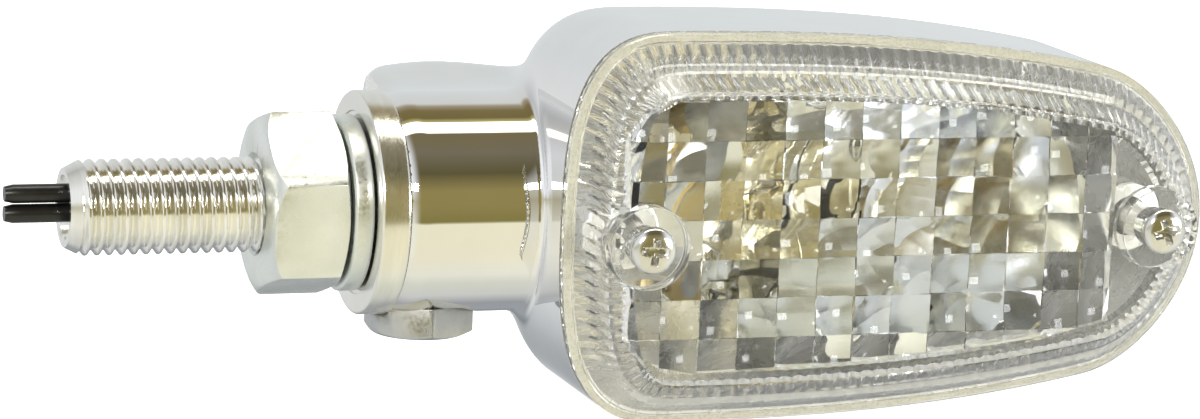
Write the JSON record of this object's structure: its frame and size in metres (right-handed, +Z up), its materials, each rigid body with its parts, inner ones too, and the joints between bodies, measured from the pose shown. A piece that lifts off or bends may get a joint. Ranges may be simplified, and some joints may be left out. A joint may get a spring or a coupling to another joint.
{
  "type": "turn signal indicator",
  "caption": "Motorcycle turn signal: chromed lamp with a clear prism lens and amber bulb, aimed on a hollow threaded stud with nut, spring washer and collar.",
  "frame": {"origin": "centre of the whole object's box; the stud's axis is the line Y = 0.0061, Z = 0 and the collar's seat face is the plane X = -0.0253", "axes": "+X along the stud's axis from the stud to the lamp; the lens faces -Y; +Z up"},
  "size_m": [0.1223, 0.0402, 0.0396],
  "materials": {
    "chrome_body": "polished chrome plating",
    "chrome_collar": "polished chrome plating with turned face",
    "clear_lens": "clear moulded acrylic with prisms and ribs",
    "black_rubber": "matt black rubber",
    "bright_screw": "bright nickel plating",
    "zinc_stud": "bright zinc plating",
    "zinc_nut": "satin zinc plating",
    "zinc_washer": "satin zinc plating",
    "zinc_bolt": "satin zinc plating, as forged",
    "bright_reflector": "vacuum-metallised dish",
    "amber_glass": "amber lacquered glass",
    "brass_base": "plated brass",
    "solder": "solder",
    "tungsten": "tungsten wire",
    "plated_steel": "zinc plated sheet steel",
    "brass_contact": "turned brass",
    "spring_steel": "spring wire",
    "fibre_board": "fibre board",
    "wire_sheath": "glossy black wire covering"
  },
  "bodies": {
    "stud": {"threaded_stud": "zinc_stud", "collar_spigot": "chrome_collar", "wire_grommet": "black_rubber", "signal_wire": "wire_sheath", "ground_wire": "wire_sheath"},
    "lamp": {"housing_shell": "chrome_body", "lens": "clear_lens", "lens_gasket": "black_rubber", "lens_screw_left": "bright_screw", "lens_screw_right": "bright_screw", "reflector": "bright_reflector", "clamp_bolt": "zinc_bolt", "bulb_socket": "plated_steel", "socket_bracket": "plated_steel", "bracket_screw_upper": "bright_screw", "bracket_screw_lower": "bright_screw", "contact_insulator": "fibre_board", "contact_spring": "spring_steel", "signal_lead": "wire_sheath", "ground_lead": "wire_sheath"},
    "plunger": {"contact_plunger": "brass_contact"},
    "bulb": {"bulb_base": "brass_base", "bulb_glass": "amber_glass", "bulb_filament": "tungsten", "bulb_contact": "solder"},
    "washer": {"lock_washer": "zinc_washer"},
    "nut": {"mounting_nut": "zinc_nut"}
  },
  "joints": [
    {"name": "lamp_aim", "type": "hinge", "parent": "stud", "child": "lamp", "pos_m": [-0.0173, 0.0061, 0], "axis": [1, 0, 0], "range_deg": [-30, 30]},
    {"name": "bulb_press", "type": "slide", "parent": "lamp", "child": "plunger", "axis": [-1, 0, 0], "range_m": [0, 0.0012], "deforming": ["contact_spring"]},
    {"name": "bulb_twist", "type": "hinge", "parent": "plunger", "child": "bulb", "pos_m": [0.006, 0.0061, 0], "axis": [-1, 0, 0], "range_deg": [0, 22]},
    {"name": "nut_travel", "type": "slide", "parent": "stud", "child": "washer", "axis": [-1, 0, 0], "range_m": [0, 0.015]},
    {"name": "nut_turn", "type": "hinge", "parent": "washer", "child": "nut", "pos_m": [-0.0313, 0.0061, 0], "axis": [-1, 0, 0], "range_deg": [0, 4320]}
  ],
  "couplings": [
    {"joint": "nut_travel", "follows": "nut_turn", "m_per_rad": 0.00019894}
  ]
}
